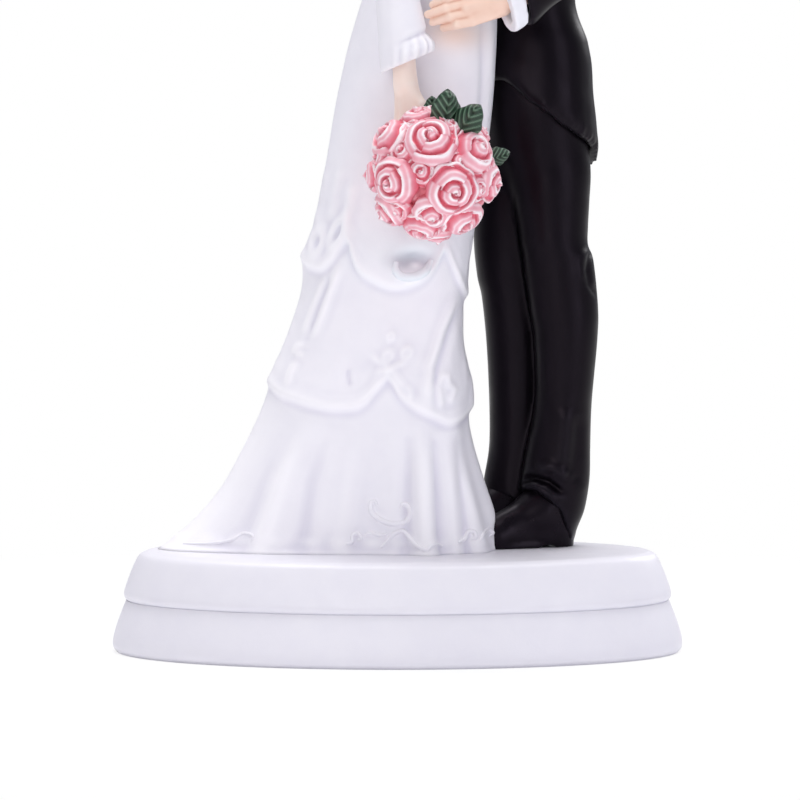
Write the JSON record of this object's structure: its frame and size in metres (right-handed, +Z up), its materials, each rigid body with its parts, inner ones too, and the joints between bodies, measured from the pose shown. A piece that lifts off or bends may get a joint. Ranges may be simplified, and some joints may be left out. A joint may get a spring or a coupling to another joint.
{
  "type": "wedding cake topper",
  "caption": "Cake topper: a bride in a trained white gown with swags and a rose bouquet, held by a groom in a black suit, on a stepped oval plinth.",
  "frame": {"origin": "middle of the plinth's underside", "axes": "+X along the plinth to the groom's side, +Y to the back, +Z up"},
  "size_m": [0.084, 0.05, 0.1469],
  "materials": {
    "plinth_resin": "cast white polyresin, satin",
    "gown": "cast polyresin painted white, satin with a pearly sheen",
    "skin": "cast polyresin painted peach, matt",
    "suit": "cast polyresin painted black, satin",
    "shoe": "cast polyresin painted black, gloss",
    "shirt": "cast polyresin painted white, satin",
    "rose": "cast polyresin painted pink with a darker wash in the folds",
    "leaf": "cast polyresin painted green",
    "bride_hair": "cast polyresin painted chestnut brown, satin",
    "groom_hair": "cast polyresin painted dark brown, satin",
    "steel": "drawn steel wire"
  },
  "bodies": {
    "root": {"plinth_lower_tier": "plinth_resin", "plinth_upper_tier": "plinth_resin", "skirt_dowel_1": "steel", "skirt_dowel_2": "steel", "leg_dowel_1": "steel", "leg_dowel_2": "steel", "bride_skirt": "gown", "bride_bodice": "gown", "bride_right_sleeve": "gown", "bride_left_sleeve": "gown", "bride_head": "skin", "bride_right_forearm": "skin", "bride_left_hand": "skin", "bride_hair": "bride_hair", "bouquet_core": "leaf", "bouquet_stems": "leaf", "bouquet_rose_1": "rose", "bouquet_rose_2": "rose", "bouquet_rose_3": "rose", "bouquet_rose_4": "rose", "bouquet_rose_5": "rose", "bouquet_rose_6": "rose", "bouquet_rose_7": "rose", "bouquet_rose_8": "rose", "bouquet_rose_9": "rose", "bouquet_rose_10": "rose", "bouquet_rose_11": "rose", "bouquet_rose_12": "rose", "bouquet_rose_13": "rose", "bouquet_rose_14": "rose", "bouquet_leaf_1": "leaf", "bouquet_leaf_2": "leaf", "bouquet_leaf_3": "leaf", "bouquet_leaf_4": "leaf", "groom_left_shoe": "shoe", "groom_right_shoe": "shoe", "groom_trousers": "suit", "groom_jacket": "suit", "groom_shirt_front": "shirt", "groom_bow_tie": "suit", "groom_head": "skin", "groom_hair": "groom_hair", "groom_left_hand": "skin", "groom_left_cuff": "shirt", "groom_left_sleeve": "suit", "groom_right_hand": "skin", "groom_right_cuff": "shirt", "groom_right_sleeve": "suit"}
  },
  "joints": []
}
